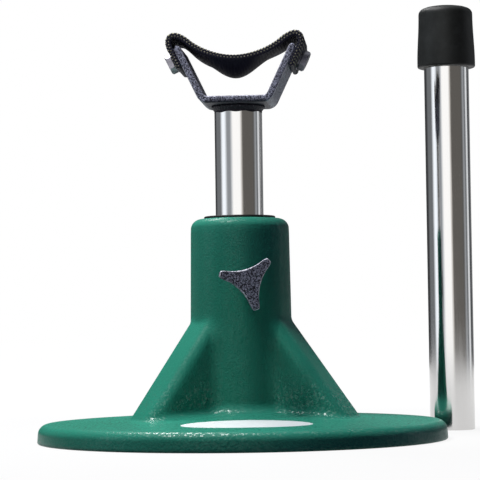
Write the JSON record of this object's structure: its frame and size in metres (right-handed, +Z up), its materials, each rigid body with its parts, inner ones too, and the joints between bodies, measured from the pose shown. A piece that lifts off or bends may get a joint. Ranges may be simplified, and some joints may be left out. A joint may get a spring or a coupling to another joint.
{
  "type": "hoof trimming stand",
  "caption": "Hoof trimming stand: finned moulded base, clamped post that slides and swivels, strap sling in a bent bar cradle, and a spare straight post with a rubber cap.",
  "frame": {"origin": "centre of the base's flat underside, on the floor", "axes": "+Z up along the post, -Y out along the clamp screw, +X to the right seen from the clamp's side"},
  "size_m": [0.4765, 0.412, 0.46],
  "materials": {
    "green_moulding": "green moulded polyethylene with an orange-peel skin",
    "black_rubber": "matt black rubber",
    "black_nylon": "plain black nylon",
    "brass": "turned brass",
    "screw_steel": "zinc-plated thread",
    "polished_steel": "brightly polished tube",
    "powder_coat": "black and silver hammered powder coat",
    "bolt_steel": "dull plated steel",
    "belt": "woven-faced rubber belt"
  },
  "bodies": {
    "base": {"base_body": "green_moulding", "guide_bush": "black_nylon", "clamp_insert": "brass"},
    "swivel": {"grip_ring": "black_rubber"},
    "post": {"post_tube": "polished_steel", "cradle_bracket": "powder_coat", "sling": "belt", "sling_bolt_left": "bolt_steel", "sling_bolt_right": "bolt_steel", "sling_washer_left": "bolt_steel", "sling_washer_right": "bolt_steel"},
    "pressure_pad": {"clamp_pad": "brass"},
    "knob": {"clamp_screw": "screw_steel", "clamp_knob": "powder_coat"},
    "spare_post": {"spare_tube": "polished_steel", "spare_cap": "black_rubber"}
  },
  "joints": [
    {"name": "post_swivel", "type": "hinge", "parent": "base", "child": "swivel", "pos_m": [0, 0, 0.223], "axis": [0, 0, 1], "continuous": true},
    {"name": "post_slide", "type": "slide", "parent": "swivel", "child": "post", "axis": [0, 0, 1], "range_m": [-0.106, 0.037]},
    {"name": "clamp_feed", "type": "slide", "parent": "base", "child": "pressure_pad", "axis": [0, -1, 0], "range_m": [0, 0.0035]},
    {"name": "knob_turn", "type": "hinge", "parent": "pressure_pad", "child": "knob", "pos_m": [0, 0, 0.158], "axis": [0, -1, 0], "range_deg": [0, 720]},
    {"name": "spare_post_lift", "type": "slide", "parent": "base", "child": "spare_post", "axis": [0, 0, 1], "range_m": [0, 0.3]}
  ],
  "couplings": [
    {"joint": "knob_turn", "follows": "clamp_feed", "rad_per_m": 3590.4}
  ]
}
